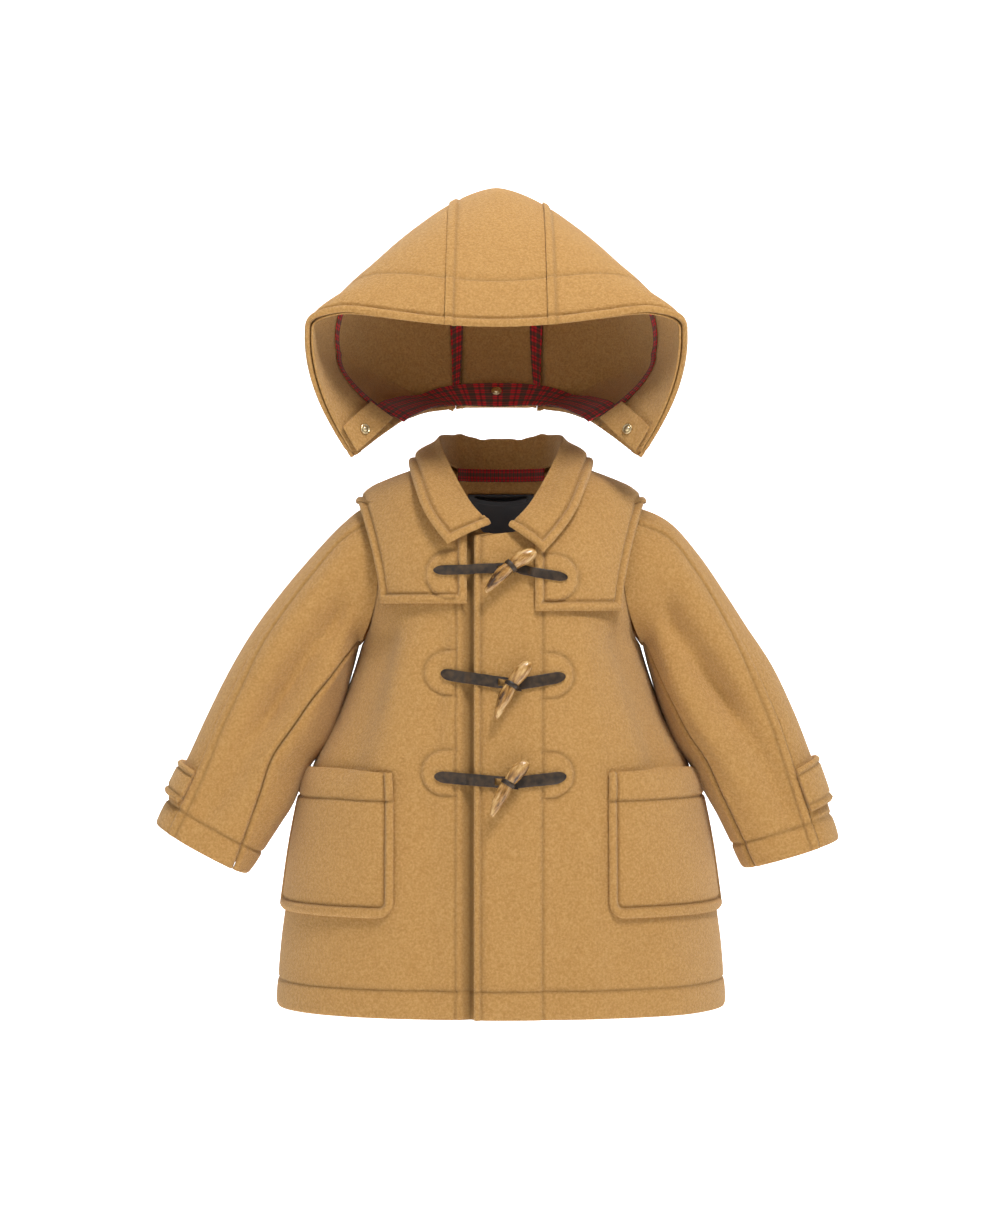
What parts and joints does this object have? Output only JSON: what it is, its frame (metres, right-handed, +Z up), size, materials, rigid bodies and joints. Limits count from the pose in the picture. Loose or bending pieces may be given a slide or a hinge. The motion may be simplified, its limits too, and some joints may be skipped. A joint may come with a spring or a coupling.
{
  "type": "duffle coat with a detached hood",
  "caption": "Child's toggle-fastened wool duffle coat, filled out as if worn, with storm flap, patch pockets and its button-on hood held above the collar.",
  "frame": {"origin": "middle of the neck, level with the back collar seam, where the wearer's neck and shoulders carry the coat", "axes": "+Z up towards the hood, -Y the coat's front, +X towards the wearer's left side"},
  "size_m": [0.574, 0.2432, 0.6942],
  "materials": {
    "wool": "camel wool double cloth, fulled and brushed, matte",
    "check_cotton": "woven cotton in a small red, green and black check",
    "label_weave": "dense navy weave, smooth, bare of any lettering",
    "leather": "dark brown leather, satin",
    "horn": "streaked tan horn, polished",
    "snap_metal": "pale gold press snap, satin"
  },
  "bodies": {
    "root": {"front_right": "wool", "front_left": "wool", "back": "wool", "storm_flap": "wool", "collar": "wool", "sleeve_front_right": "wool", "sleeve_back_right": "wool", "sleeve_front_left": "wool", "sleeve_back_left": "wool", "cuff_strap_right": "wool", "cuff_strap_left": "wool", "cuff_button_right": "horn", "cuff_button_left": "horn", "pocket_right": "wool", "pocket_left": "wool", "hood_side_right": "wool", "hood_side_left": "wool", "hood_middle": "wool", "hood_facing": "wool", "hood_tab_right": "wool", "hood_tab_left": "wool", "hood_seam_tape_right": "check_cotton", "hood_seam_tape_left": "check_cotton", "hood_facing_tape": "check_cotton", "hood_neck_band": "check_cotton", "neck_tape": "check_cotton", "label": "label_weave", "hanger_loop": "label_weave", "snap_right": "snap_metal", "snap_left": "snap_metal", "snap_middle": "snap_metal", "loop_tab_1": "leather", "loop_tab_2": "leather", "loop_tab_3": "leather", "toggle_tab_1": "leather", "toggle_tab_2": "leather", "toggle_tab_3": "leather", "toggle_1": "horn", "toggle_2": "horn", "toggle_3": "horn"}
  },
  "joints": []
}
